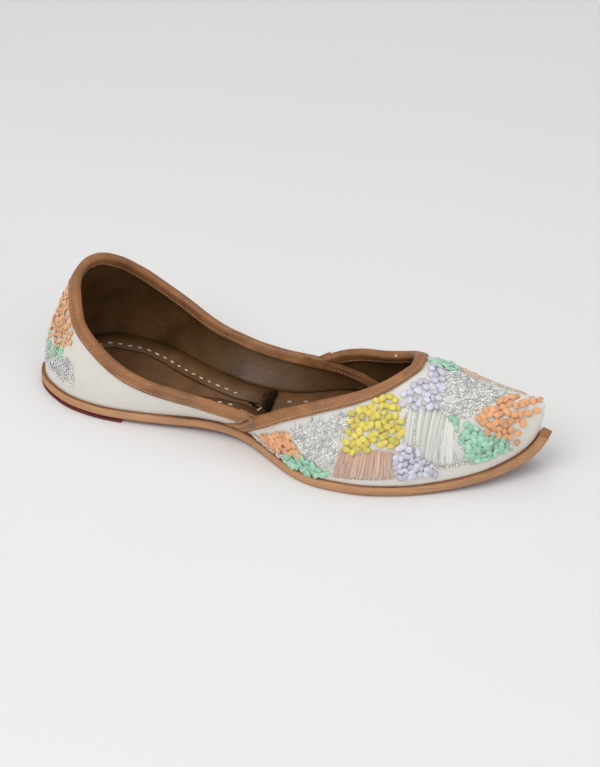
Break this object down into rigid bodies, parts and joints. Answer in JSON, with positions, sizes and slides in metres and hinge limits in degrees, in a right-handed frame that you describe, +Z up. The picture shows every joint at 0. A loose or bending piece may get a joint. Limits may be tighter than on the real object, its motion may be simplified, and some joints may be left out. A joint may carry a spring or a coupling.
{
  "type": "mojari shoe",
  "caption": "Flat slip-on mojari shoe for the right foot: hollow upper with bound collar and pointed closed toe, thin leather sole with a narrow waist and upturned tip.",
  "frame": {"origin": "middle of the footprint's bounding box, on the floor under the sole", "axes": "+X from heel to toe, +Y towards the medial side of the foot, +Z up"},
  "size_m": [0.25, 0.084, 0.0652],
  "materials": {
    "sole_leather": "burnished edge",
    "lift_leather": "dyed red, matt",
    "insole_leather": "smooth brown",
    "upper_fabric": "off-white satin over leather lining",
    "binding_leather": "smooth tan, folded and stitched"
  },
  "bodies": {
    "root": {"outsole": "sole_leather", "heel_lift": "lift_leather", "insole": "insole_leather", "upper": "upper_fabric", "quarter_binding": "binding_leather", "vamp_binding": "binding_leather"}
  },
  "joints": []
}
